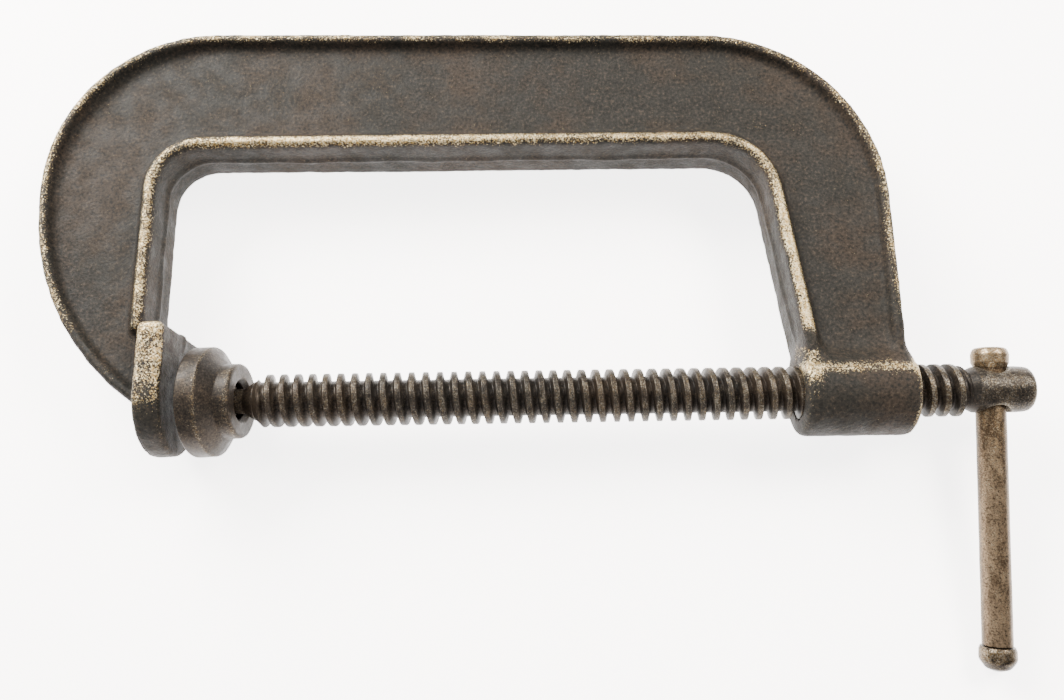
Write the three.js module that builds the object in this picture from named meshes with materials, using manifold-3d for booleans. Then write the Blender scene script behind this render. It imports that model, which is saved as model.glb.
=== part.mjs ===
// A drop-forged C clamp of 8 inch opening, lying on its side.
// Millimetres. The origin is the centre of the anvil's gripping face, +X runs along the screw
// towards its head, +Y runs from the screw to the back of the frame, and +Z is up.
import * as THREE from "three";
import { mergeVertices } from "three/addons/utils/BufferGeometryUtils.js";
import Module from "manifold-3d";

const wasm = await Module();
wasm.setup();

// Frame: an I-section arm bent round the throat, with an anvil and a threaded boss on its ends.
const RIB_HALF_DEPTH = 12.7;
const WEB_HALF_DEPTH = 8.6;
const OUTER_RIB = 3.6;
const INNER_RIB = 4.3;
const RIB_DRAFT = 1.4;
const FRAME_EDGE = 1.2;
const BACK_LEFT = { x: 7.2, y: 81.6, r: 60.9 };
const BACK_RIGHT = { x: 192.2, y: 71.9, r: 67.6 };
const HEEL = { x: 41.6, y: 76, r: 95.3 };
const THROAT_LEFT = { x: 4.4, y: 79, r: 15.3 };
const THROAT_RIGHT = { x: 195.1, y: 72.8, r: 20.5 };
const ARM_SPLAY = THREE.MathUtils.degToRad(7.75);
const ARM_FOOT_X = 258.8;
const ARM_FOOT_Y = 0;
const POCKET_FOOT_Y = 12;

const ANVIL_THICKNESS = 9.5;
const ANVIL_RADIUS = 20.9;
const ANVIL_TOP = 25;
const ANVIL_MIDDLE = 1.2;
const ANVIL_EDGE = 0.8;

const BOSS_LEFT = 221.8;
const BOSS_LENGTH = 40.1;
const BOSS_RADIUS = 15.9;
const BOSS_EDGE = 2;

// Screw: 3/4 inch, five threads to the inch, right-hand.
const PITCH = 5.08;
const CREST_RADIUS = 9.525;
const ROOT_RADIUS = 6.7;
const CREST_WIDTH = 1.9;
const FLANK_WIDTH = 0.74;
const THREAD_SIDES = 16;
const THREAD_GAP = 0.3;
const THREAD_ORIGIN = 18.9;
const THREAD_LEFT = 27.2;
const THREAD_RIGHT = 283;
const THREAD_RUNOUT = 3.2;
const CORE_INSET = 0.5;
const HEAD_LEFT = 284.9;
const HEAD_RIGHT = 305.3;
const HEAD_RADIUS = 8.35;
const HEAD_EDGE = 2.2;
const BALL_X = 14.3;
const BALL_RADIUS = 6.35;
const NECK_RADIUS = 4.5;
const NECK_END = 24;
const NECK_CONE_RADIUS = 7;
const CROSS_HOLE_X = 292.2;
const CROSS_HOLE_RADIUS = 6.1;

// Swivel pad, measured from the middle of the screw's ball.
const PAD_FACE = -7.9;
const PAD_RADIUS = 19.8;
const PAD_RIM = 6.8;
const PAD_EDGE = 0.6;
const RIM_EDGE = 1;
const COLLAR_START = 3.4;
const COLLAR_END = 8.6;
const COLLAR_RADIUS = 13.5;
const COLLAR_EDGE = 1.2;
const SOCKET_RADIUS = BALL_RADIUS + 0.35;
const SOCKET_CENTRE_LIP = 0.6;
const MOUTH_RADIUS = 7.7;
const MOUTH_DEPTH = 1.5;
const GROOVE_RADIUS = 8.3;
const GROOVE_START = 1.4;
const GROOVE_END = 6.1;
const PAD_DROOP = THREE.MathUtils.degToRad(5);
const RING_OFFSET = 3.9;
const RING_RADIUS = 6.4;
const RING_WIRE = 0.85;
const RING_SPLIT = THREE.MathUtils.degToRad(28);

// Sliding bar, measured along itself from the screw's axis, positive towards its forged head.
const BAR_RADIUS = 5.1;
const BAR_X = 291.85;
const BAR_TURN = THREE.MathUtils.degToRad(8.9);
const BAR_LEAN = THREE.MathUtils.degToRad(2.1);
const BAR_HEAD_RADIUS = 6.4;
const BAR_HEAD_START = 7.2;
const BAR_HEAD_CONE = 2.4;
const BAR_HEAD_TOP = 15.2;
const BAR_HEAD_EDGE = 2;
const CAP_START = -90.1;
const CAP_END = -98.6;
const CAP_RADIUS = 6.35;
const CAP_ROUND = 4.8;
const CAP_SHOULDER = 0.9;
const TENON_RADIUS = 4;
const TENON_LENGTH = 6;
const TENON_GAP = 0.3;

const ROUND_SIDES = 40;
const SMALL_ROUND_SIDES = 32;
const CORNER_STEPS = 3;

// A closed geometry as a solid, with the vertices that its faces share merged.
function solidOf(geometry) {
  const bare = new THREE.BufferGeometry();
  bare.setAttribute("position", geometry.getAttribute("position"));
  if (geometry.index) bare.setIndex(geometry.index);
  const merged = mergeVertices(bare, 1e-3);
  const mesh = new wasm.Mesh({
    numProp: 3,
    vertProperties: new Float32Array(merged.getAttribute("position").array),
    triVerts: new Uint32Array(merged.index.array),
  });
  mesh.merge();
  return new wasm.Manifold(mesh);
}

function geometryOf(solid) {
  const mesh = solid.getMesh();
  const geometry = new THREE.BufferGeometry();
  geometry.setAttribute("position", new THREE.BufferAttribute(mesh.vertProperties, 3));
  geometry.setIndex(new THREE.BufferAttribute(mesh.triVerts, 1));
  geometry.computeVertexNormals();
  return geometry;
}

// A profile of [distance along, radius] points turned round the X axis.
function turned(profile, sides = ROUND_SIDES) {
  const points = profile.map(([along, radius]) => new THREE.Vector2(radius, along));
  const lathe = new THREE.LatheGeometry(points, sides);
  return lathe.rotateZ(-Math.PI / 2);
}

// The quarter round of a turned profile between its left end face and its side.
function leftCorner(face, radius, round) {
  return corner((angle) => [
    face + round * (1 - Math.cos(angle)),
    radius - round * (1 - Math.sin(angle)),
  ]);
}

// The quarter round of a turned profile between its side and its right end face.
function rightCorner(face, radius, round) {
  return corner((angle) => [
    face - round * (1 - Math.sin(angle)),
    radius - round * (1 - Math.cos(angle)),
  ]);
}

function corner(pointAt) {
  const points = [];
  for (let i = 0; i <= CORNER_STEPS; i += 1) {
    points.push(pointAt((Math.PI / 2) * (i / CORNER_STEPS)));
  }
  return points;
}

// Points on a circle of the given centre and radius, from one angle to another in degrees.
function arc({ x, y, r }, from, to, steps, grow = 0) {
  const points = [];
  for (let i = 0; i <= steps; i += 1) {
    const angle = THREE.MathUtils.degToRad(from + ((to - from) * i) / steps);
    points.push(
      new THREE.Vector2(x + (r + grow) * Math.cos(angle), y + (r + grow) * Math.sin(angle)),
    );
  }
  return points;
}

// The frame's outline, pulled in from its outer edge and from its throat, and ending on the left
// at x = toe and on the right at y = foot.
function frameOutline(outerInset, innerInset, toe, foot) {
  const heelEnd = 180 + THREE.MathUtils.radToDeg(
    Math.acos((HEEL.x - toe) / (HEEL.r - outerInset)),
  );
  const splay = THREE.MathUtils.radToDeg(ARM_SPLAY);
  const throatRight = arc(THROAT_RIGHT, splay, 90, 8, innerInset);
  const leave = throatRight[0];
  const footX = leave.x + (leave.y - foot) * Math.tan(ARM_SPLAY);
  return [
    new THREE.Vector2(footX, foot),
    new THREE.Vector2(ARM_FOOT_X - outerInset, foot),
    ...arc(BACK_RIGHT, 0, 90, 16, -outerInset),
    ...arc(BACK_LEFT, 90, 180, 14, -outerInset),
    ...arc(HEEL, 180, heelEnd, 10, -outerInset),
    ...toeCorner(innerInset, toe),
    ...arc(THROAT_LEFT, 180, 90, 7, innerInset),
    ...throatRight.reverse(),
  ];
}

// Where the arm's outline runs into the anvil plate instead of ending on the inner rib.
function toeCorner(innerInset, toe) {
  const armFace = THROAT_LEFT.x - THROAT_LEFT.r - innerInset;
  if (toe <= armFace) return [];
  const shoulder = ANVIL_TOP - 2;
  return [new THREE.Vector2(toe, shoulder), new THREE.Vector2(armFace, shoulder)];
}

// A flat outline raised from z = low to z = high, with its edges chamfered.
function raised(outline, low, high, chamfer) {
  const geometry = new THREE.ExtrudeGeometry(new THREE.Shape(outline), {
    depth: high - low - 2 * chamfer,
    bevelEnabled: true,
    bevelThickness: chamfer,
    bevelSize: chamfer,
    bevelOffset: -chamfer,
    bevelSegments: 1,
  });
  return geometry.translate(0, 0, low + chamfer);
}

// The recess between the ribs on one face, which widens outwards by the forging's draft and runs
// on under the anvil and the boss. The extrusion is the same both ways up, so it cuts either face.
function pocketSolid(face) {
  const floor = frameOutline(
    OUTER_RIB + RIB_DRAFT,
    INNER_RIB + RIB_DRAFT,
    -ANVIL_THICKNESS,
    POCKET_FOOT_Y,
  );
  const depth = RIB_HALF_DEPTH - WEB_HALF_DEPTH;
  const geometry = new THREE.ExtrudeGeometry(new THREE.Shape(floor), {
    depth,
    bevelEnabled: true,
    bevelThickness: depth,
    bevelSize: RIB_DRAFT,
    bevelSegments: 1,
  });
  const bottom = face > 0 ? RIB_HALF_DEPTH : -RIB_HALF_DEPTH - depth;
  return solidOf(geometry.translate(0, 0, bottom));
}

function anvilSolid() {
  const outline = [
    new THREE.Vector2(ANVIL_RADIUS, ANVIL_TOP),
    new THREE.Vector2(-ANVIL_RADIUS, ANVIL_TOP),
    ...arc({ x: 0, y: ANVIL_MIDDLE, r: ANVIL_RADIUS }, 180, 360, 24),
  ];
  const plate = raised(outline, -ANVIL_THICKNESS, 0, ANVIL_EDGE);
  return solidOf(plate.rotateY(Math.PI / 2));
}

function bossSolid() {
  const right = BOSS_LEFT + BOSS_LENGTH;
  return solidOf(turned([
    [BOSS_LEFT, 0],
    ...leftCorner(BOSS_LEFT, BOSS_RADIUS, BOSS_EDGE),
    ...rightCorner(right, BOSS_RADIUS, BOSS_EDGE),
    [right, 0],
  ]));
}

// A rod with a right-hand trapezoidal thread of several whole turns. Its surface is a strip of
// four lines (root, root, crest, crest) wound round the axis, and each end is closed by a fan.
function threadedRod(left, turns, grow) {
  const outline = [
    [grow, ROOT_RADIUS + grow],
    [PITCH - CREST_WIDTH - 2 * FLANK_WIDTH - grow, ROOT_RADIUS + grow],
    [PITCH - CREST_WIDTH - FLANK_WIDTH - grow, CREST_RADIUS + grow],
    [PITCH - FLANK_WIDTH + grow, CREST_RADIUS + grow],
  ];
  const lines = outline.length;
  const steps = turns * THREAD_SIDES;
  const points = [];
  for (let step = 0; step <= steps + THREAD_SIDES; step += 1) {
    const angle = (2 * Math.PI * step) / THREAD_SIDES;
    const advance = left + (PITCH * step) / THREAD_SIDES;
    for (const [along, radius] of outline) {
      points.push(advance + along, radius * Math.cos(angle), radius * Math.sin(angle));
    }
  }
  const at = (step, line) => (line < lines ? step * lines + line : (step + THREAD_SIDES) * lines);
  const faces = [];
  for (let step = 0; step < steps; step += 1) {
    for (let line = 0; line < lines; line += 1) {
      const [a, b] = [at(step, line), at(step + 1, line)];
      const [c, d] = [at(step + 1, line + 1), at(step, line + 1)];
      faces.push(a, b, c, a, c, d);
    }
  }
  const endCap = (firstStep, centreX, outward) => {
    const centre = points.length / 3;
    points.push(centreX, 0, 0);
    const loop = [];
    for (let step = 0; step <= THREAD_SIDES; step += 1) loop.push(at(firstStep + step, 0));
    for (let line = lines - 1; line > 0; line -= 1) loop.push(at(firstStep, line));
    loop.forEach((vertex, i) => {
      const next = loop[(i + 1) % loop.length];
      faces.push(...(outward > 0 ? [centre, vertex, next] : [centre, next, vertex]));
    });
  };
  endCap(0, left, -1);
  endCap(steps, left + PITCH * (turns + 1), 1);
  const geometry = new THREE.BufferGeometry();
  geometry.setAttribute("position", new THREE.Float32BufferAttribute(points, 3));
  geometry.setIndex(faces);
  return solidOf(geometry);
}

// The boss's female thread, counted from the same start as the screw's so that the two mesh.
function boreSolid() {
  const turnsBefore = Math.floor((BOSS_LEFT - THREAD_ORIGIN) / PITCH) - 2;
  const turns = Math.ceil(BOSS_LENGTH / PITCH) + 4;
  return threadedRod(THREAD_ORIGIN + turnsBefore * PITCH, turns, THREAD_GAP);
}

function frameGeometry() {
  const arm = solidOf(raised(
    frameOutline(0, 0, -ANVIL_THICKNESS / 2, ARM_FOOT_Y),
    -RIB_HALF_DEPTH,
    RIB_HALF_DEPTH,
    FRAME_EDGE,
  ));
  const forging = arm
    .subtract(pocketSolid(1))
    .subtract(pocketSolid(-1))
    .add(anvilSolid())
    .add(bossSolid());
  return geometryOf(forging.subtract(boreSolid()));
}

// The bar's through hole, square to the screw.
function crossHole() {
  const drill = new THREE.CylinderGeometry(
    CROSS_HOLE_RADIUS,
    CROSS_HOLE_RADIUS,
    4 * HEAD_RADIUS,
    ROUND_SIDES,
  );
  return solidOf(drill.rotateX(BAR_TURN).translate(CROSS_HOLE_X, 0, 0));
}

// Points of a ball or socket's profile, between two distances along its axis.
function sphereProfile(centre, radius, from, to, steps) {
  const points = [];
  for (let i = 0; i <= steps; i += 1) {
    const start = Math.acos(from / radius);
    const end = Math.acos(to / radius);
    const angle = start + ((end - start) * i) / steps;
    points.push([centre + radius * Math.cos(angle), radius * Math.sin(angle)]);
  }
  return points;
}

function screwGeometry() {
  const neckStart = Math.sqrt(BALL_RADIUS ** 2 - NECK_RADIUS ** 2);
  const ballEnd = sphereProfile(BALL_X, BALL_RADIUS, -BALL_RADIUS, neckStart, 10);
  const core = solidOf(turned([
    ...ballEnd,
    [NECK_END, NECK_RADIUS],
    [THREAD_LEFT + CORE_INSET, NECK_CONE_RADIUS],
    [THREAD_LEFT + 3 * CORE_INSET, ROOT_RADIUS - CORE_INSET],
    [THREAD_RIGHT - 2 * CORE_INSET, ROOT_RADIUS - CORE_INSET],
    [HEAD_LEFT, HEAD_RADIUS],
    ...rightCorner(HEAD_RIGHT, HEAD_RADIUS, HEAD_EDGE),
    [HEAD_RIGHT, 0],
  ], 2 * THREAD_SIDES));
  const clear = CREST_RADIUS + THREAD_GAP;
  const blank = solidOf(turned([
    [THREAD_LEFT, 0],
    [THREAD_LEFT, ROOT_RADIUS],
    [THREAD_LEFT + THREAD_RUNOUT, clear],
    [THREAD_RIGHT - THREAD_RUNOUT, clear],
    [THREAD_RIGHT, ROOT_RADIUS],
    [THREAD_RIGHT, 0],
  ], THREAD_SIDES));
  const turns = Math.ceil((THREAD_RIGHT - THREAD_ORIGIN) / PITCH);
  const thread = threadedRod(THREAD_ORIGIN, turns, 0).intersect(blank);
  return geometryOf(core.add(thread).subtract(crossHole()));
}

function padGeometry() {
  return turned([
    [PAD_FACE, 0],
    ...leftCorner(PAD_FACE, PAD_RADIUS, PAD_EDGE),
    ...rightCorner(PAD_FACE + PAD_RIM, PAD_RADIUS, RIM_EDGE),
    [COLLAR_START, COLLAR_RADIUS],
    ...rightCorner(COLLAR_END, COLLAR_RADIUS, COLLAR_EDGE),
    [COLLAR_END, MOUTH_RADIUS],
    [COLLAR_END - MOUTH_DEPTH, SOCKET_RADIUS],
    [GROOVE_END, SOCKET_RADIUS],
    [GROOVE_END, GROOVE_RADIUS],
    [GROOVE_START, GROOVE_RADIUS],
    [GROOVE_START, SOCKET_RADIUS],
    ...sphereProfile(0, SOCKET_RADIUS, SOCKET_CENTRE_LIP, -SOCKET_RADIUS, 8),
  ]);
}

// A split ring of round wire, sprung into the pad's groove behind the ball.
function ringGeometry() {
  const sweep = 2 * Math.PI - RING_SPLIT;
  class RingLine extends THREE.Curve {
    getPoint(t, target = new THREE.Vector3()) {
      const angle = RING_SPLIT / 2 + sweep * t;
      return target.set(0, RING_RADIUS * Math.cos(angle), RING_RADIUS * Math.sin(angle));
    }
  }
  const wire = new THREE.Shape(arc({ x: 0, y: 0, r: RING_WIRE }, 0, 315, 7));
  return new THREE.ExtrudeGeometry(wire, {
    steps: 32,
    bevelEnabled: false,
    extrudePath: new RingLine(),
  });
}

// The bar's own profile runs along X; its group turns it into the head's hole.
function barGeometry() {
  return turned([
    [CAP_START - TENON_LENGTH, 0],
    [CAP_START - TENON_LENGTH, TENON_RADIUS],
    [CAP_START + TENON_GAP, TENON_RADIUS],
    [CAP_START + TENON_GAP, BAR_RADIUS],
    [BAR_HEAD_START, BAR_RADIUS],
    [BAR_HEAD_START + BAR_HEAD_CONE, BAR_HEAD_RADIUS],
    ...rightCorner(BAR_HEAD_TOP, BAR_HEAD_RADIUS, BAR_HEAD_EDGE),
    [BAR_HEAD_TOP, 0],
  ], SMALL_ROUND_SIDES);
}

// The ball end is pressed on after the bar is threaded through the screw's head.
function capGeometry() {
  const holeEnd = CAP_START - TENON_LENGTH - TENON_GAP;
  const holeRadius = TENON_RADIUS + TENON_GAP;
  return turned([
    [CAP_END, 0],
    ...leftCorner(CAP_END, CAP_RADIUS, CAP_ROUND),
    ...rightCorner(CAP_START, CAP_RADIUS, CAP_SHOULDER),
    [CAP_START, holeRadius],
    [holeEnd, holeRadius],
    [holeEnd, 0],
  ], SMALL_ROUND_SIDES);
}

function piece(name, geometry, color, roughness, metalness) {
  const material = new THREE.MeshStandardMaterial({ color, roughness, metalness });
  const mesh = new THREE.Mesh(geometry, material);
  mesh.name = name;
  return mesh;
}

const clamp = new THREE.Group();
clamp.add(piece("frame", frameGeometry(), 0x4b463f, 0.55, 0.8));
clamp.add(piece("screw", screwGeometry(), 0x4d4842, 0.4, 0.9));

const padGroup = new THREE.Group();
padGroup.position.x = BALL_X;
padGroup.rotation.y = -PAD_DROOP;
padGroup.add(piece("swivel_pad", padGeometry(), 0x574f47, 0.5, 0.85));
clamp.add(padGroup);

const ring = piece("pad_retaining_ring", ringGeometry(), 0x70706c, 0.35, 1);
ring.position.x = BALL_X + RING_OFFSET;
clamp.add(ring);

const handle = new THREE.Group();
handle.position.x = BAR_X;
handle.rotation.set(BAR_TURN, 0, -BAR_LEAN);
const handleBar = piece("handle_bar", barGeometry(), 0x8c7558, 0.4, 0.85);
handleBar.rotation.z = Math.PI / 2;
handle.add(handleBar);
const endCap = piece("handle_end_cap", capGeometry(), 0x423d39, 0.45, 0.9);
endCap.rotation.z = Math.PI / 2;
handle.add(endCap);
clamp.add(handle);

export default clamp;
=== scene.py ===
# %% [markdown]
# # A forged C clamp
# The clamp lies on its side on a pale table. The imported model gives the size, the place and the
# motion of every piece, so it is loaded first and nothing below moves or resizes it. Each piece
# is then made again with the rounding, the tool marks and the finish of the real steel.

# %% Load the frame
import math

import bpy
import numpy as np
from mathutils import Matrix, Vector, noise


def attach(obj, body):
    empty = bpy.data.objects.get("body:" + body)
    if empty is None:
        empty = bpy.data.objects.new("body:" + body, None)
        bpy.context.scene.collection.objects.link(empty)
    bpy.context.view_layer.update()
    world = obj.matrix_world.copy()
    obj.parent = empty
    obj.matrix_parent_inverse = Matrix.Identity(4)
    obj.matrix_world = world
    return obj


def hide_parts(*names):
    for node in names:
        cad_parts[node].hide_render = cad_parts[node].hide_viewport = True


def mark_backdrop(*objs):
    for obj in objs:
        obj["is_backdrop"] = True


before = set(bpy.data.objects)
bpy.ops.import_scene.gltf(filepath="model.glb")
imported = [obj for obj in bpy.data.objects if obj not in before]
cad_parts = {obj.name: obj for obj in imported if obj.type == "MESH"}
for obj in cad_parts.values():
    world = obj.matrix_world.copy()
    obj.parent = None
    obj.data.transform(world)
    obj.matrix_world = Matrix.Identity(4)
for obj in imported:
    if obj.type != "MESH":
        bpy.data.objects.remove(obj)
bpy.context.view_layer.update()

MM = 0.001

# %% [markdown]
# ## The camera
# A close hand-held view from above the clamp's near side, tipped a little, so that the sides
# facing the near edge of the table show. The short lens, so close, spreads the near parts.

# %% Camera
SENSOR_WIDTH = 36                # mm, a full-frame sensor
LENS_RATIO = 920 / 1064          # focal length over the picture's width
CAMERA_PLACE = Vector((125.5, -67.15, 324.6)) * MM
CAMERA_PITCH = math.radians(14.6)
CAMERA_ROLL = math.radians(-0.925)

camera_data = bpy.data.cameras.new("camera")
camera_data.sensor_width = SENSOR_WIDTH
camera_data.lens = SENSOR_WIDTH * LENS_RATIO
camera_data.clip_start = 0.01
camera = bpy.data.objects.new("camera", camera_data)
bpy.context.scene.collection.objects.link(camera)
camera.matrix_world = (
    Matrix.Translation(CAMERA_PLACE)
    @ Matrix.Rotation(CAMERA_ROLL, 4, "Z")
    @ Matrix.Rotation(CAMERA_PITCH, 4, "X")
)
bpy.context.scene.camera = camera
print("lens in mm:", round(camera_data.lens, 2))

# %% [markdown]
# ## Turned pieces
# Most of a clamp is turned or upset from round bar, so one helper spins a profile round the X
# axis. The profile is a list of corners in millimetres, and each corner names the radius it was
# broken to. The fillets are worked out here, so that every edge catches light like a real one.

# %% Profiles and turning
FILLET_STEPS = 5          # points along each rounded corner
SEGMENTS = 112            # sides to a full turn
FILLET_ROOM = 0.48        # the most of a short side that one fillet may take


def filleted(corners):
    """Points along a profile of (x, r, round) corners, with each corner rounded."""
    points = []
    for i, (x, r, radius) in enumerate(corners):
        here = np.array((x, r), float)
        if radius <= 0 or i in (0, len(corners) - 1):
            points.append(here)
            continue
        back = np.array(corners[i - 1][:2], float) - here
        ahead = np.array(corners[i + 1][:2], float) - here
        room = FILLET_ROOM * min(np.linalg.norm(back), np.linalg.norm(ahead))
        back, ahead = back / np.linalg.norm(back), ahead / np.linalg.norm(ahead)
        half = 0.5 * math.acos(float(np.clip(back @ ahead, -1, 1)))
        reach = min(radius / math.tan(half), room)
        for t in np.linspace(0, 1, FILLET_STEPS):
            points.append(here + reach * ((1 - t) ** 2 * back + t**2 * ahead))
    return np.array(points)


def make_object(name, points, faces):
    """A smooth-shaded mesh object from points in millimetres."""
    mesh = bpy.data.meshes.new(name)
    mesh.from_pydata((np.asarray(points) * MM).tolist(), [], faces)
    mesh.update()
    mesh.shade_smooth()
    obj = bpy.data.objects.new(name, mesh)
    bpy.context.scene.collection.objects.link(obj)
    return obj


def spun(name, profile):
    """A profile of (x, r) points spun round X. A point with r = 0 becomes a single pole."""
    points, rows, faces = [], [], []
    for x, r in profile:
        start = len(points)
        if r < 1e-6:
            points.append((x, 0, 0))
            rows.append([start] * SEGMENTS)
            continue
        for k in range(SEGMENTS):
            angle = 2 * math.pi * k / SEGMENTS
            points.append((x, r * math.cos(angle), r * math.sin(angle)))
        rows.append(list(range(start, start + SEGMENTS)))
    for a, b in zip(rows, rows[1:]):
        for k in range(SEGMENTS):
            n = (k + 1) % SEGMENTS
            corner = dict.fromkeys((a[k], b[k], b[n], a[n]))
            if len(corner) > 2:
                faces.append(list(corner)[::-1])
    return make_object(name, points, faces)


def densified(profile, step):
    """The same profile with extra points, so that no stretch is longer than step."""
    out = [profile[0]]
    for a, b in zip(profile, profile[1:]):
        count = max(1, math.ceil(np.linalg.norm(b - a) / step))
        out.extend(a + (b - a) * t for t in np.linspace(0, 1, count + 1)[1:])
    return np.array(out)


print("a turn has", SEGMENTS, "sides and a broken corner", FILLET_STEPS, "points")

# %% [markdown]
# ## Reading and moving vertices
# Nothing that is forged, turned or worn is exact, and a surface that is too true looks drawn. So
# every piece is ruffled a little by smooth noise. A modifier could do it, but plain arrays are
# quick and leave the final mesh as it is seen.

# %% Vertices
SEED_STEP = (7.3, 3.1, 5.7)       # each seed reads the noise at another place
NOISE_SHAPE = (0.9, 2.1, 3)       # how fast the finer noise fades, how much finer, and how often


def coordinates(obj):
    """The vertices in millimetres."""
    co = np.empty(len(obj.data.vertices) * 3)
    obj.data.vertices.foreach_get("co", co)
    return co.reshape(-1, 3) / MM


def normals_of(obj):
    """The vertex normals."""
    normals = np.empty(len(obj.data.vertices) * 3)
    obj.data.vertices.foreach_get("normal", normals)
    return normals.reshape(-1, 3)


def move_to(obj, co):
    """Put the vertices at new places in millimetres."""
    obj.data.vertices.foreach_set("co", (co * MM).ravel())
    obj.data.update()


def ruffle(obj, amount, size, seed):
    """Push each vertex along its normal by smooth noise of a size in millimetres."""
    co = coordinates(obj)
    offset = np.array(SEED_STEP) * seed
    lift = [noise.fractal(point, *NOISE_SHAPE) for point in co / size + offset]
    move_to(obj, co + normals_of(obj) * (amount * np.array(lift))[:, None])


def store(obj, name, values):
    """Keep one number per vertex, for the finish to read."""
    attribute = obj.data.attributes.new(name, "FLOAT", "POINT")
    attribute.data.foreach_set("value", np.asarray(values, np.float32))


print("vertices are read and moved in millimetres, where 1 mm is", MM, "m")

# %% [markdown]
# ## The finish
# Every piece is plain carbon steel that was scaled black in the fire, oiled, handled and worn.
# The skin is a dark brown-grey oxide with a little sheen. Where hands and work rub it, the
# oxide thins to a warm bare metal in speckles, first on the high grains. So one finish is
# built for all: skin, brown stain, speckled wear that follows the edges, and a grainy bump.

# %% Node helpers
def link(tree, source, target):
    """Join two sockets."""
    tree.links.new(source, target)


def grain(tree, coordinate, size, detail=4.0, roughness=0.55, stretch=(1, 1, 1)):
    """Noise with features of a size in millimetres."""
    mapping = tree.nodes.new("ShaderNodeMapping")
    mapping.inputs["Scale"].default_value = stretch
    link(tree, coordinate, mapping.inputs["Vector"])
    texture = tree.nodes.new("ShaderNodeTexNoise")
    texture.inputs["Scale"].default_value = 1 / (size * MM)
    texture.inputs["Detail"].default_value = detail
    texture.inputs["Roughness"].default_value = roughness
    link(tree, mapping.outputs["Vector"], texture.inputs["Vector"])
    return texture.outputs["Fac"]


def arithmetic(tree, operation, a, b):
    """A two-input math node on sockets or numbers."""
    node = tree.nodes.new("ShaderNodeMath")
    node.operation = operation
    for socket, value in zip(node.inputs, (a, b)):
        if isinstance(value, (int, float)):
            socket.default_value = value
        else:
            link(tree, value, socket)
    return node.outputs["Value"]


def between(tree, value, low, high, to_low=0.0, to_high=1.0):
    """A smooth step from to_low to to_high while value goes from low to high."""
    node = tree.nodes.new("ShaderNodeMapRange")
    node.interpolation_type = "SMOOTHSTEP"
    link(tree, value, node.inputs["Value"])
    limits = {"From Min": low, "From Max": high, "To Min": to_low, "To Max": to_high}
    for name, number in limits.items():
        node.inputs[name].default_value = number
    return node.outputs["Result"]


def blend(tree, factor, a, b):
    """A colour between a and b, which are sockets or colours."""
    node = tree.nodes.new("ShaderNodeMix")
    node.data_type = "RGBA"
    link(tree, factor, node.inputs["Factor"])
    for socket, value in ((node.inputs["A"], a), (node.inputs["B"], b)):
        if isinstance(value, bpy.types.NodeSocket):
            link(tree, value, socket)
        else:
            socket.default_value = (*value, 1)
    return node.outputs["Result"]


print("node helpers ready: grain, arithmetic, between, blend")

# %% [markdown]
# ## One steel for every piece
# The skin is mixed with a broad brown stain, then with darker pits and lighter grains. The bare
# metal comes last. It could be painted on by a mask, but real wear starts on the highest grains,
# so wear only lifts the grains towards the height where they are rubbed through. The shine and the
# roughness follow the same rubbing, and pits and grains together give the relief.

# %% Steel
SKIN_IOR = 1.2                                # dry oxide shines less than glass or paint
PIT_SHADE, GRAIN_SHADE = 0.5, 1.9             # pits against the skin, grains against the stain
GOLDEN_SHADE = (0.62, 0.5, 0.33)              # thin oxide over bare metal looks golden
FINE_SHARE, PATCH_SHARE, WEAR_SHARE = 1.8, 0.8, 0.62    # what lifts a grain to the rubbing
RUB_HEIGHT, WEAR_DROP = 2.115, 0.5            # the height of rubbing, and its drop with wear
FLECK_SIZE = 1.6                              # golden flecks against the speckles
PIT_RELIEF, FINE_RELIEF = 0.7, 0.3
RELIEF_DEPTH = 0.5 * MM


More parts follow.
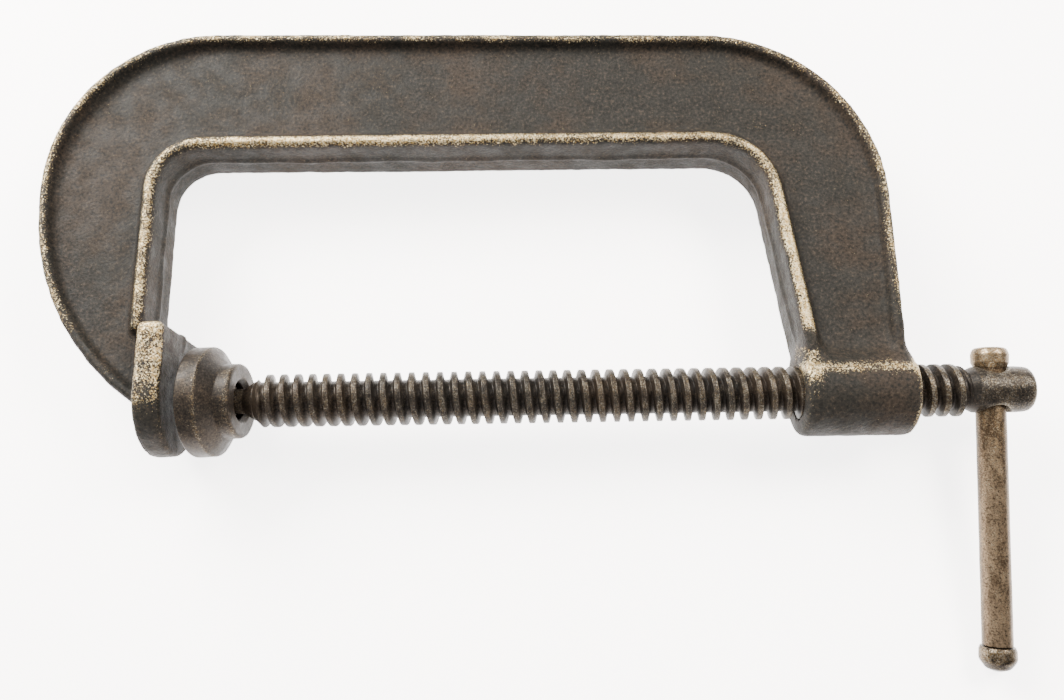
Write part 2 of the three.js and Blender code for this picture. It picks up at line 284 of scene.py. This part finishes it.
def steel(name, skin, stain, bare, wear, stain_size, speckle, pit, bump, skin_rough, skin_metal,
          bare_rough=0.36, stretch=(1, 1, 1), soften=0.45):
    """Dark oxide with stains, and bare metal where the wear attribute is high. Sizes in mm."""
    material = bpy.data.materials.new(name)
    material.use_nodes = True
    tree = material.node_tree
    shader = tree.nodes["Principled BSDF"]
    place = tree.nodes.new("ShaderNodeTexCoord").outputs["Object"]
    # On the frame, the wear attribute also carries a painted highlight along the boss.
    worn = tree.nodes.new("ShaderNodeAttribute")
    worn.attribute_name = "wear"

    broad = grain(tree, place, stain_size, 5, 0.6, stretch)
    patches = grain(tree, place, stain_size / 4, 4, 0.6, stretch)
    fine = grain(tree, place, speckle, 3, 0.6)
    pits = grain(tree, place, pit, 4, 0.7)

    colour = blend(tree, between(tree, broad, 0.4, 0.62), skin, stain)
    deeper = [channel * PIT_SHADE for channel in skin]
    higher = [channel * GRAIN_SHADE for channel in stain]
    colour = blend(tree, between(tree, pits, 0.52, 0.36), colour, deeper)
    colour = blend(tree, between(tree, pits, 0.52, 0.72), colour, higher)

    # The wear attribute raises the grains, and those above the middle height show bare metal.
    # Even the most worn place keeps dark pits between them.
    height = arithmetic(tree, "MULTIPLY", fine, FINE_SHARE)
    height = arithmetic(tree, "ADD", height, arithmetic(tree, "MULTIPLY", patches, PATCH_SHARE))
    lift = arithmetic(tree, "MULTIPLY", worn.outputs["Fac"], WEAR_SHARE)
    raised = arithmetic(tree, "ADD", height, lift)
    middle = RUB_HEIGHT - WEAR_DROP * wear
    rubbed = between(tree, raised, middle - soften / 2, middle + soften / 2)
    flecks = grain(tree, place, FLECK_SIZE * speckle, 2, 0.5)
    golden = [channel * share for channel, share in zip(bare, GOLDEN_SHADE)]
    bright = blend(tree, between(tree, flecks, 0.42, 0.6), bare, golden)
    colour = blend(tree, rubbed, colour, bright)
    link(tree, colour, shader.inputs["Base Color"])
    shader.inputs["IOR"].default_value = SKIN_IOR

    link(tree, between(tree, rubbed, 0, 1, skin_metal, 1.0), shader.inputs["Metallic"])
    rough = between(tree, patches, 0.3, 0.7, skin_rough - 0.08, skin_rough + 0.12)
    polish = between(tree, rubbed, 0, 1, 0, skin_rough - bare_rough)
    rough = arithmetic(tree, "SUBTRACT", rough, polish)
    link(tree, rough, shader.inputs["Roughness"])

    relief = arithmetic(tree, "MULTIPLY", pits, PIT_RELIEF)
    relief = arithmetic(tree, "ADD", relief, arithmetic(tree, "MULTIPLY", fine, FINE_RELIEF))
    node = tree.nodes.new("ShaderNodeBump")
    node.inputs["Strength"].default_value = bump
    node.inputs["Distance"].default_value = RELIEF_DEPTH
    link(tree, relief, node.inputs["Height"])
    link(tree, node.outputs["Normal"], shader.inputs["Normal"])
    return material


print("steel ready, with a skin of IOR", SKIN_IOR)

# %% [markdown]
# ## Dressing a piece, and where its edges wear
# Each piece is handed its finish and the body that it moves with, and the imported solid that it
# stands for is hidden. Wear starts on edges and corners, so a measure of how convex the surface is
# at each vertex is taken from the way the normals spread, and smoothed over the neighbours.

# %% Dressing and edges
EDGE_SPREAD, NEIGHBOUR_SHARE = 2, 0.6         # rounds of smoothing, and how strong each one is


def dress(obj, material, body, node):
    """Give a piece its finish and its body to ride on, and hide the CAD node that it stands for."""
    obj.data.materials.clear()
    obj.data.materials.append(material)
    if "wear" not in obj.data.attributes:
        store(obj, "wear", np.zeros(len(obj.data.vertices)))
    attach(obj, body)
    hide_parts(node)
    print(obj.name, "has", len(obj.data.polygons), "faces")


def edge_wear(obj):
    """How convex the surface is at each vertex, from 0 to 1."""
    mesh = obj.data
    co = coordinates(obj)
    normals = normals_of(obj)
    edges = np.empty(len(mesh.edges) * 2, int)
    mesh.edges.foreach_get("vertices", edges)
    a, b = edges.reshape(-1, 2).T
    step = co[b] - co[a]
    length = np.linalg.norm(step, axis=1) + 1e-9
    bend = ((normals[b] - normals[a]) * step).sum(1) / length**2
    total = np.zeros(len(co))
    count = np.zeros(len(co))
    for end in (a, b):
        np.add.at(total, end, bend)
        np.add.at(count, end, 1)
    convex = total / np.maximum(count, 1)
    for _ in range(EDGE_SPREAD):
        total = np.zeros(len(co))
        np.add.at(total, a, convex[b])
        np.add.at(total, b, convex[a])
        mean = total / np.maximum(count, 1)
        convex = (1 - NEIGHBOUR_SHARE) * convex + NEIGHBOUR_SHARE * mean
    return np.clip(convex, 0, 1)


print("edges are smoothed", EDGE_SPREAD, "times")

# %% [markdown]
# ## The forged frame
# The real frame is one drop forging: an I-section arm with a raised rib on each side of a thin
# web, an anvil foot at one end and a threaded boss at the other, trimmed along the parting line.
# It could be drawn as a sweep with three unions, but forgings have no sharp corner anywhere: the
# ribs crown over and everything runs together in fillets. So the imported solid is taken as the
# blank, remeshed into even small faces, and relaxed, which rolls every corner the way hot steel
# flows in a die. The joins at the boss and the anvil are relaxed more, and the bore not at all.

# %% Frame shape
VOXEL = 0.97                      # mm, one face of the even mesh
BOSS_SPAN = (221.8, 261.9)
BOSS_RADIUS = 15.9
BORE_KEPT = 10.6 + 1.5            # vertices this near the screw's axis aren't relaxed
ANVIL_BACK = -9.5
ROLL_AMOUNT, ROLL_ROUNDS = 0.5, 9             # rolls every corner over
JOIN_AMOUNT, JOIN_ROUNDS = 0.55, 30           # melts the joins into wide fillets
BEAD_HEIGHT, BEAD_WIDTH = 0.8, 1.1            # the trimmed parting line


def result_of(obj):
    """A new mesh of what the object's modifiers make."""
    bpy.context.view_layer.update()
    graph = bpy.context.evaluated_depsgraph_get()
    return bpy.data.meshes.new_from_object(obj.evaluated_get(graph))


def blank_of(node, name):
    """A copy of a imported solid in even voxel-sized faces."""
    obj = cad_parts[node].copy()
    obj.data = obj.data.copy()
    obj.name = name
    obj.parent = None
    obj.hide_render = False
    for key in list(obj.keys()):
        del obj[key]
    bpy.context.scene.collection.objects.link(obj)
    obj.data.transform(obj.matrix_world)
    obj.matrix_world = Matrix.Identity(4)
    remesh = obj.modifiers.new("even faces", "REMESH")
    remesh.mode = "VOXEL"
    remesh.voxel_size = VOXEL * MM
    made = result_of(obj)
    bpy.data.objects.remove(obj)
    made.name = name
    obj = bpy.data.objects.new(name, made)
    bpy.context.scene.collection.objects.link(obj)
    obj.data.shade_smooth()
    return obj


def relax(co, edges, amount, rounds):
    """Move each vertex towards the middle of its neighbours, by its own share each round."""
    a, b = edges.T
    count = np.bincount(edges.ravel(), minlength=len(co))[:, None]
    for _ in range(rounds):
        total = np.zeros_like(co)
        for axis in range(3):
            total[:, axis] = np.bincount(a, co[b, axis], len(co))
            total[:, axis] += np.bincount(b, co[a, axis], len(co))
        co = co + amount[:, None] * (total / count - co)
    return co


def near(distance, width):
    """1 at no distance, falling smoothly to 0 at about twice the width."""
    return np.exp(-((distance / width) ** 2))


def ramp(value, low, high):
    """0 up to low, rising evenly to 1 at high."""
    return np.clip((value - low) / (high - low), 0, 1)


forging = blank_of("frame", "forged_frame")
edges = np.empty(len(forging.data.edges) * 2, int)
forging.data.edges.foreach_get("vertices", edges)
edges = edges.reshape(-1, 2)
co = coordinates(forging)
x, y, z = co.T
from_axis = np.hypot(y, z)
in_bore = (from_axis < BORE_KEPT) & (x > BOSS_SPAN[0] - 3) & (x < BOSS_SPAN[1] + 3)
co = relax(co, edges, np.where(in_bore, 0.0, ROLL_AMOUNT), ROLL_ROUNDS)

# The arm runs into the boss and into the anvil's back in wide fillets.
x, y, z = co.T
boss_join = near(np.hypot(y, z) - BOSS_RADIUS, 3.2) * (y > 7) * (x > BOSS_SPAN[0] - 6)
anvil_join = near(x - ANVIL_BACK, 3.0) * (np.abs(z) < 13.6) * (y < 30) * (y > -12)
joins = JOIN_AMOUNT * np.clip(boss_join + anvil_join, 0, 1)
co = relax(co, edges, np.where(in_bore, 0.0, joins), JOIN_ROUNDS)

# A thin bead of trimmed flash is left along the parting line, standing out of the side walls.
move_to(forging, co)
normals = normals_of(forging)
sideways = 1 - np.abs(normals[:, 2])
x, y, z = co.T
wander = 0.35 * np.sin(x / 9) + 0.25 * np.sin(x / 3.7 + y / 5)
bead = BEAD_HEIGHT * near(z - wander, BEAD_WIDTH) * sideways * ramp(y, 18, 24)
move_to(forging, co + normals * bead[:, None])
ruffle(forging, 0.16, 5, seed=1)
ruffle(forging, 0.05, 1.6, seed=2)
span = np.ptp(coordinates(forging), axis=0).round(1)
print("frame faces:", len(forging.data.polygons), "span in mm:", span)

# %% [markdown]
# ## Where the frame is worn, and a painted highlight on its boss
# Work and hands rub the crown of the inner rib brightest, then the anvil's upper side, the boss's
# left mouth and the line along it, and least the outer rib. The line along the boss is partly this
# wear and partly a painted highlight on its lit upper curve. Each of these is a band at a known
# distance from an outline, so the outlines are written as distances and the bands follow them.

# %% Frame outlines
THROAT = ((4.4, 79.0, 15.3), (195.1, 72.8, 20.5))     # the throat's two corners: x, y, radius
THROAT_TOP = 93.9
SPLAY = math.radians(7.75)                            # how far the right wall leans outwards
BACK = ((7.2, 81.6, 60.9), (192.2, 71.9, 67.6))       # the back's two corners
HEEL = (41.6, 76.0, 95.3)                             # the long curve down to the anvil


def throat_distance(x, y):
    """Distance from the throat's wall into the frame."""
    (lx, ly, lr), (rx, ry, rr) = THROAT
    slope = np.array((math.cos(SPLAY), math.sin(SPLAY)))
    left = lx - lr - x
    right = (x - rx) * slope[0] + (y - ry) * slope[1] - rr
    above = y - THROAT_TOP
    d = np.maximum(np.maximum(left, right), above)
    corner_left = np.hypot(x - lx, y - ly) - lr
    corner_right = np.hypot(x - rx, y - ry) - rr
    d = np.where((x < lx) & (y > ly), corner_left, d)
    past = ((x - rx) * slope[1] - (y - ry) * slope[0] < 0) & (x > rx)
    return np.where(past, corner_right, d)


def outer_distance(x, y):
    """Distance from the outer outline into the frame."""
    (lx, ly, lr), (rx, ry, rr) = BACK
    top_y = np.interp(x, (lx, rx), (ly + lr, ry + rr))
    d = np.minimum(top_y - y, rx + rr - x)
    d = np.where((x < lx) & (y > ly), lr - np.hypot(x - lx, y - ly), d)
    d = np.where((x > rx) & (y > ry), rr - np.hypot(x - rx, y - ry), d)
    return np.where((y < ly) & (x < lx), HEEL[2] - np.hypot(x - HEEL[0], y - HEEL[1]), d)


print("throat corners stand", round(THROAT[1][0] - THROAT[0][0], 1), "mm apart")

# %% Frame wear
OUTER_WORN, INNER_WORN, ANVIL_WORN = 0.5, 0.86, 0.72
MOUTH_WORN, LINE_WEAR_AND_HIGHLIGHT, FAR_WORN = 0.62, 0.8, 0.6      # the boss's left mouth, its line of wear and painted highlight, and its right end
EDGES_WORN = 0.42
MOST_WORN = 1.1

co = coordinates(forging)
x, y, z = co.T
convex = edge_wear(forging)
top = ramp(z, 8, 12)

outer_crown = OUTER_WORN * near(outer_distance(x, y) - 1.8, 2.0) * top * ramp(y, 22, 32)
inner_share = INNER_WORN - 0.16 * (x < 14)            # the wall beside the anvil is rubbed less
inner_crown = inner_share * near(throat_distance(x, y) - 2.6, 2.9) * top * ramp(y, 17, 22)
anvil_side = ANVIL_WORN * ramp(z, 17.5, 20) * (x < 3) * (0.75 + 0.25 * ramp(y, -8, 6))
anvil_side = anvil_side * np.maximum(ramp(y, -30, 2), 0.4)
boss = (x > BOSS_SPAN[0] - 1) * (np.hypot(y, z) < BOSS_RADIUS + 1.5) * (z > 0)
boss_mouth = MOUTH_WORN * near(x - BOSS_SPAN[0] - 2.6, 3.4) * boss * ramp(y, -6, 2)
# The line along the boss is partly rubbed bare metal and partly a painted highlight on its lit upper
# curve.
boss_wear_and_highlight_line = LINE_WEAR_AND_HIGHLIGHT * near(y - 6, 2.6) * boss
boss_far = FAR_WORN * near(x - BOSS_SPAN[1] + 1.0, 1.6) * boss
worn_edges = EDGES_WORN * np.clip(convex * 2.2, 0, 1)
# All of this is wear, except the boss's line, which also carries a painted highlight.
wear = worn_edges + outer_crown + inner_crown + anvil_side + boss_mouth + boss_wear_and_highlight_line + boss_far
store(forging, "wear", np.clip(wear, 0, MOST_WORN))
forged_skin = steel(
    "forged skin", (0.0117, 0.0107, 0.0086), (0.019, 0.0138, 0.0096), (0.43, 0.357, 0.215),
    wear=0.5, stain_size=30, speckle=0.6, pit=1.1, bump=0.85,
    skin_rough=0.58, skin_metal=0.05, soften=0.36,
)
dress(forging, forged_skin, "frame", "frame")

# %% [markdown]
# ## The screw's thread
# The screw is one bar, and its thread is a square-shouldered trapezoid, chased in a lathe or
# rolled. A screw modifier could wind it, but the crests are what the eye reads and they have to
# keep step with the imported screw. So one profile strip is wound here as a true helix. The strip
# is held under a cone at each end, which runs the thread out.

# %% Thread
PITCH = 5.08
THREAD_ORIGIN = 18.9
THREAD_SPAN = (27.2, 283.0)
CREST, ROOT = 9.525, 6.75
CREST_WIDTH, FLANK = 1.9, 0.74
CREST_ROUND, ROOT_ROUND = 0.4, 0.45
TURN_SIDES = 72
RUN_OUT_SLOPE = 0.95
LEAST_RADIUS = 3.5                # where the strip hides inside the core
PAST_END = 1.5


def thread():
    """The helical strip, with rounded crest and root corners, between the two run-outs."""
    root_width = PITCH - CREST_WIDTH - 2 * FLANK
    strip = filleted([
        (0, ROOT, 0),
        (root_width, ROOT, ROOT_ROUND),
        (root_width + FLANK, CREST, CREST_ROUND),
        (PITCH - FLANK, CREST, CREST_ROUND),
        (PITCH, ROOT, 0),
    ])[:-1]
    turns = math.ceil((THREAD_SPAN[1] - THREAD_ORIGIN) / PITCH) + 1
    steps = np.arange(turns * TURN_SIDES + 1)
    angle = 2 * math.pi * steps / TURN_SIDES
    x = THREAD_ORIGIN - PITCH + PITCH * steps[:, None] / TURN_SIDES + strip[None, :, 0]
    run_out = np.minimum(x - THREAD_SPAN[0], THREAD_SPAN[1] - x)
    limit = ROOT - 0.4 + np.clip(run_out, -3, 4) * RUN_OUT_SLOPE
    r = np.clip(np.minimum(strip[None, :, 1], limit), LEAST_RADIUS, None)
    x = np.clip(x, THREAD_SPAN[0] - PAST_END, THREAD_SPAN[1] + PAST_END)
    points = np.stack((x, r * np.cos(angle)[:, None], r * np.sin(angle)[:, None]), -1)
    lines = strip.shape[0]
    index = np.arange(points.shape[0] * lines).reshape(-1, lines)
    a, b, c, d = index[:-1, :-1], index[1:, :-1], index[1:, 1:], index[:-1, 1:]
    faces = np.stack((a, b, c, d), -1).reshape(-1, 4).tolist()
    last = index[:-TURN_SIDES, -1]
    first = index[TURN_SIDES:, 0]
    faces += np.stack((last[:-1], last[1:], first[1:], first[:-1]), -1).tolist()
    return make_object("screw_thread", points.reshape(-1, 3), faces)


print("turns of thread:", round((THREAD_SPAN[1] - THREAD_SPAN[0]) / PITCH, 1))

# %% [markdown]
# ## The hole through the screw's head
# The head is cross-drilled for the handle, and both mouths of the hole show. Its rim could be
# faked with a dark disc, but the bar slides and turns in it, so it is really cut with a tool the
# shape of the drill.

# %% Cutting and joining
HEAD_SPAN = (284.9, 305.3)
HEAD_RADIUS = 8.35
HOLE_X, HOLE_RADIUS = 292.2, 6.1
BAR_TURN = math.radians(8.9)      # how far the hole is turned from upright, round the screw
SHARP_FROM = math.radians(50)


def cut(obj, tool):
    """Subtract a tool from an object, and take the tool away."""
    modifier = obj.modifiers.new("cut", "BOOLEAN")
    modifier.operation = "DIFFERENCE"
    modifier.solver = "EXACT"
    modifier.object = tool
    made = result_of(obj)
    obj.modifiers.clear()
    obj.data = made
    bpy.data.objects.remove(tool)
    made.shade_smooth()
    made.set_sharp_from_angle(angle=SHARP_FROM)


def joined(name, objects):
    """One object from several."""
    bpy.ops.object.select_all(action="DESELECT")
    for obj in objects:
        obj.select_set(True)
    bpy.context.view_layer.objects.active = objects[0]
    bpy.ops.object.join()
    objects[0].name = name
    return objects[0]


def cross_drill():
    """The drill that makes the handle's hole, laid through the head."""
    reach = 3 * HEAD_RADIUS
    profile = [(-reach, 0), (-reach, HOLE_RADIUS), (reach, HOLE_RADIUS), (reach, 0)]
    drill = spun("drill", np.array(profile))
    turn = Matrix.Rotation(BAR_TURN, 4, "X") @ Matrix.Rotation(math.pi / 2, 4, "Z")
    drill.data.transform(Matrix.Translation((HOLE_X * MM, 0, 0)) @ turn)
    return drill


print("handle's hole in mm:", 2 * HOLE_RADIUS)

# %% [markdown]
# ## The whole screw
# The ball and its neck are turned on the far end, with a cone up to the thread, and the head is
# left plain. Thread, head, ball and a core inside the helix are joined into one piece. The
# crests are polished by the boss and the head by the hand, the head's rim and hole most.

# %% Screw
BALL_X, BALL_RADIUS = 14.3, 6.35
NECK_RADIUS = 4.5

ball_end_angle = math.pi - math.asin(NECK_RADIUS / BALL_RADIUS)
ball = [
    (BALL_X - BALL_RADIUS * math.cos(t), BALL_RADIUS * math.sin(t), 0)
    for t in np.linspace(0, ball_end_angle, 24)
]
front = densified(filleted([
    *ball,
    (23.6, NECK_RADIUS, 0.6),               # the neck
    (27.6, 7.1, 0.5),                       # the cone up to the thread
    (29.5, 6.4, 0.3),
    (29.5, 0, 0),
]), 0.7)
head = densified(filleted([
    (HEAD_SPAN[0] - 3.4, 0, 0),
    (HEAD_SPAN[0] - 3.4, 6.5, 0),           # a short cone out of the thread
    (HEAD_SPAN[0] + 0.1, HEAD_RADIUS - 0.1, 1.0),
    (HEAD_SPAN[0] + 6, HEAD_RADIUS, 0),
    (HEAD_SPAN[1] - 5, HEAD_RADIUS, 0),
    (HEAD_SPAN[1], HEAD_RADIUS - 0.35, 2.6),
    (HEAD_SPAN[1] + 0.3, 0, 0),             # a slightly domed end
]), 0.6)
core_profile = [(26, 0), (26, 5), (28, 6.4), (282.5, 6.4), (283.5, 0)]

screw_head = spun("screw_head", head)
ruffle(screw_head, 0.07, 6, seed=3)
cut(screw_head, cross_drill())
core = spun("screw_core", np.array(core_profile))
screw = joined("long_screw", [thread(), screw_head, spun("screw_ball", front), core])

x, y, z = coordinates(screw).T
crests = ramp(np.hypot(y, z), 9.1, 9.45) * (x < THREAD_SPAN[1])
from_hole = np.hypot(x - HOLE_X, z * math.cos(BAR_TURN) - y * math.sin(BAR_TURN)) - HOLE_RADIUS
head_rim = near(x - HEAD_SPAN[1] + 1.2, 1.2)
head_worn = (x > HEAD_SPAN[0]) * (0.34 + 0.4 * head_rim + 0.45 * near(from_hole, 0.9))
crests_worn = crests * (0.26 + 0.3 * ramp(x, 30, 280))
neck_worn = 0.3 * (x < 24)
store(screw, "wear", crests_worn + head_worn + neck_worn)
screw_steel = steel(
    "screw steel", (0.013, 0.0112, 0.0095), (0.02, 0.0145, 0.01), (0.2, 0.18, 0.145),
    wear=0.55, stain_size=18, speckle=0.45, pit=0.7, bump=0.16,
    skin_rough=0.42, bare_rough=0.32, skin_metal=0.4, soften=0.9,
)
dress(screw, screw_steel, "screw", "screw")

# %% [markdown]
# ## The swivel pad
# The pad is turned from bar: a flat thick-rimmed disc, a cone and a collar, bored for the ball,
# with a groove in the bore. Its corners are only just broken, and they are where it is rubbed
# bright. It hangs a little on its ball, so it is turned first and then tipped about the ball.

# %% Pad
PAD_DROOP = math.radians(5)
PAD_FACE, PAD_RADIUS = -7.9, 19.8
COLLAR_RADIUS, COLLAR_END = 13.5, 8.6
SOCKET_RADIUS, GROOVE_RADIUS = 6.7, 8.3

socket = [
    (SOCKET_RADIUS * math.cos(t), SOCKET_RADIUS * math.sin(t), 0)
    for t in np.linspace(1.48, math.pi, 16)
]
pad = spun("pressure_pad", densified(filleted([
    (PAD_FACE, 0, 0),
    (PAD_FACE, PAD_RADIUS, 0.7),
    (-1.1, 19.75, 0.8),                     # the end of the thick rim
    (3.4, 13.55, 0.6),                      # the foot of the collar
    (COLLAR_END, 13.45, 1.3),
    (COLLAR_END, 8.2, 0.7),
    (6.9, 6.75, 0.4),                       # the mouth narrows to hold the ring in
    (6.1, SOCKET_RADIUS, 0),
    (6.1, GROOVE_RADIUS, 0),
    (1.4, GROOVE_RADIUS, 0),
    (1.4, SOCKET_RADIUS, 0),
    *socket,
]), 0.6))
ruffle(pad, 0.08, 6, seed=4)

x, y, z = coordinates(pad).T
r = np.hypot(y, z)
rim_worn = 0.45 * near(r - PAD_RADIUS, 0.9) * near(x + 1.1, 0.9) + 0.1 * (r > 19.2)
collar_worn = 0.36 * near(r - 13.4, 1.6) * near(x - 7.6, 1.4)
collar_worn += 0.14 * near(r - COLLAR_RADIUS, 0.7) * (x > 2)
mouth_worn = 0.3 * near(r - 8, 0.8) * (x > 6)
store(pad, "wear", rim_worn + collar_worn + mouth_worn)
pad.data.transform(Matrix.Translation((BALL_X * MM, 0, 0)) @ Matrix.Rotation(-PAD_DROOP, 4, "Y"))
pad_steel = steel(
    "pad steel", (0.0145, 0.012, 0.0098), (0.023, 0.017, 0.012), (0.2, 0.17, 0.125),
    wear=0.5, stain_size=14, speckle=0.5, pit=0.8, bump=0.2,
    skin_rough=0.44, skin_metal=0.4, soften=0.8,
)
dress(pad, pad_steel, "swivel_pad", "swivel_pad")

# %% [markdown]
# ## The ring that keeps the ball in
# A split ring of spring wire springs into the pad's groove behind the ball. A torus would do if
# it were whole, but it is open on one side, so the wire is bent round here with two domed ends.

# %% Retaining ring
RING_X, RING_RADIUS, WIRE = 18.2, 6.4, 0.85
RING_SPLIT = math.radians(28)
WIRE_SIDES, RING_STEPS = 20, 96
DOMED_END = (0.6, 0.9, 1.0)       # the wire's thickness at the first steps from each end


def wire_ring():
    """Round wire bent to an open ring, with domed cut ends."""
    points, faces = [], []
    for i in range(RING_STEPS + 1):
        angle = RING_SPLIT / 2 + (2 * math.pi - RING_SPLIT) * i / RING_STEPS
        from_end = min(i, RING_STEPS - i)
        wire = WIRE * DOMED_END[min(from_end, 2)]
        for k in range(WIRE_SIDES):
            around = 2 * math.pi * k / WIRE_SIDES
            x = RING_X + wire * math.sin(around)
            radius = RING_RADIUS + wire * math.cos(around)
            points.append((x, radius * math.cos(angle), radius * math.sin(angle)))
    for i in range(RING_STEPS):
        a, b = i * WIRE_SIDES, (i + 1) * WIRE_SIDES
        for k in range(WIRE_SIDES):
            n = (k + 1) % WIRE_SIDES
            faces.append((a + k, a + n, b + n, b + k))
    faces.append(tuple(range(WIRE_SIDES))[::-1])
    faces.append(tuple(RING_STEPS * WIRE_SIDES + k for k in range(WIRE_SIDES)))
    return make_object("retaining_ring", points, faces)


ring = wire_ring()
spring_wire = steel(
    "spring wire", (0.2, 0.19, 0.17), (0.12, 0.09, 0.06), (0.6, 0.58, 0.54),
    wear=0.6, stain_size=5, speckle=0.3, pit=0.4, bump=0.08, skin_rough=0.32, skin_metal=0.9,
)
dress(ring, spring_wire, "screw_travel", "pad_retaining_ring")

# %% [markdown]
# ## The sliding bar
# The handle is a plain bar pushed through the screw's head, where it leans a little in its loose
# hole. One end is upset hot into a small mushroom with a conical underside. Both are one turned
# profile here. Palms keep the bar a warm mottled brown, and its head is rubbed brightest.

# %% Bar
BAR_X = 291.85
BAR_LEAN = math.radians(2.1)
BAR_RADIUS = 5.1
bar_place = (
    Matrix.Translation((BAR_X * MM, 0, 0))
    @ Matrix.Rotation(BAR_TURN, 4, "X")
    @ Matrix.Rotation(-BAR_LEAN, 4, "Z")
    @ Matrix.Rotation(math.pi / 2, 4, "Z")
)
bar = spun("sliding_bar", densified(filleted([
    (-96.1, 0, 0),
    (-96.1, 4, 0.4),                        # the tenon inside the ball end
    (-89.8, 4, 0),
    (-89.8, BAR_RADIUS, 0.3),
    (7.2, BAR_RADIUS, 0.8),
    (9.5, 6.35, 1.2),                       # the upset head, above its conical underside
    (12.6, 6.45, 1.0),
    (15.0, 5.6, 2.4),
    (15.25, 0, 0),
]), 0.8))
ruffle(bar, 0.05, 9, seed=5)

along = coordinates(bar)[:, 0]
store(bar, "wear", np.where(along > 7.5, 0.6, 0.2) + 0.12 * near(along + 12, 14))
bar.data.transform(bar_place)
bar_steel = steel(
    "bar steel", (0.044, 0.0285, 0.0165), (0.098, 0.069, 0.044), (0.35, 0.28, 0.185),
    wear=0.6, stain_size=10, speckle=0.5, pit=0.8, bump=0.14,
    skin_rough=0.38, bare_rough=0.3, skin_metal=0.7, stretch=(1, 0.4, 1), soften=1.0,
)
dress(bar, bar_steel, "handle", "handle_bar")

# %% [markdown]
# ## The ball end
# The bar can only be put through the head while one end is bare, so the other stop is a separate
# ball end, pressed on afterwards. It is a darker steel with a sharp shoulder, and a fine joint
# line is left between the two. Its blind hole is part of the same turned profile.

# %% Ball end
cap = spun("ball_end", densified(filleted([
    (-98.6, 0, 0),
    (-98.5, 1.6, 0.8),
    (-97.6, 4.2, 2.5),
    (-94.6, 6.35, 3.2),
    (-91.4, 6.2, 1.6),
    (-90.1, 5.75, 0.35),                    # the sharp shoulder
    (-90.1, 4.35, 0),                       # the blind hole
    (-96.4, 4.35, 0),
    (-96.4, 0, 0),
]), 0.5))
ruffle(cap, 0.06, 4, seed=6)

x, y, z = coordinates(cap).T
shoulder_worn = 0.3 * near(x + 92, 1.2)
widest_worn = 0.25 * near(np.hypot(y, z) - 6.3, 0.8)
store(cap, "wear", 0.3 + shoulder_worn + widest_worn)
cap.data.transform(bar_place)
ball_end_steel = steel(
    "ball end steel", (0.014, 0.0115, 0.0095), (0.023, 0.016, 0.011), (0.24, 0.2, 0.145),
    wear=0.5, stain_size=8, speckle=0.4, pit=0.6, bump=0.14,
    skin_rough=0.34, bare_rough=0.28, skin_metal=0.75, soften=0.9,
)
dress(cap, ball_end_steel, "handle", "handle_end_cap")

# %% [markdown]
# ## The table
# The clamp lies on a plain white sheet that reaches past the view. Brighter lamps could burn the
# sheet out to white, but they would grey the dark steel as well. So the sheet glows by itself,
# as if it were lit from far beyond the view, and the shadows on it stay pale.

# %% Table
TABLE_Z = -21.0 * MM
TABLE_REACH = 4                   # m from the middle to each side
TABLE_GLOW = 4.5

sides = ((-1, -1), (1, -1), (1, 1), (-1, 1))
mesh = bpy.data.meshes.new("table")
mesh.from_pydata([(TABLE_REACH * a, TABLE_REACH * b, TABLE_Z) for a, b in sides], [], [(0, 1, 2, 3)])
table = bpy.data.objects.new("table", mesh)
bpy.context.scene.collection.objects.link(table)
table_finish = bpy.data.materials.new("table")
table_finish.use_nodes = True
table_shader = table_finish.node_tree.nodes["Principled BSDF"]
table_shader.inputs["Base Color"].default_value = (0.94, 0.88, 0.85, 1)
table_shader.inputs["Roughness"].default_value = 0.85
table_shader.inputs["Emission Color"].default_value = (1.0, 0.985, 0.975, 1)
table_shader.inputs["Emission Strength"].default_value = TABLE_GLOW
mesh.materials.append(table_finish)
print("table's height in mm:", round(TABLE_Z / MM, 1))

# %% [markdown]
# ## The light
# The light is a wide soft window behind on the left, a smaller warmer lamp behind on the right
# and a faint fill in front, under a dim even sky. The panels stand well to the sides, so that
# the flat web doesn't mirror them and only the edges and round crests catch them.

# %% Light
SKY = 0.5
AIM = (125, 40, 0)

world = bpy.data.worlds.new("world")
bpy.context.scene.world = world
world.use_nodes = True
sky = world.node_tree.nodes["Background"]
sky.inputs["Color"].default_value = (1.0, 0.98, 0.97, 1)
sky.inputs["Strength"].default_value = SKY


def soft_panel(name, place, width, length, watts, colour):
    """A large area light that faces the clamp, all in millimetres and watts."""
    data = bpy.data.lights.new(name, "AREA")
    data.shape = "RECTANGLE"
    data.size = width * MM
    data.size_y = length * MM
    data.energy = watts
    data.color = colour
    light = bpy.data.objects.new(name, data)
    bpy.context.scene.collection.objects.link(light)
    place, target = Vector(place) * MM, Vector(AIM) * MM
    aim = (place - target).to_track_quat("Z", "Y").to_matrix().to_4x4()
    light.matrix_world = Matrix.Translation(place) @ aim
    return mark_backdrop(light)


soft_panel("window", (-420, 620, 520), 700, 420, 52, (1.0, 0.985, 0.96))
soft_panel("lamp", (620, 340, 620), 420, 320, 17, (1.0, 0.96, 0.91))
soft_panel("fill", (60, -620, 560), 500, 260, 3, (1.0, 0.98, 0.96))
print("three panels stand round", AIM)
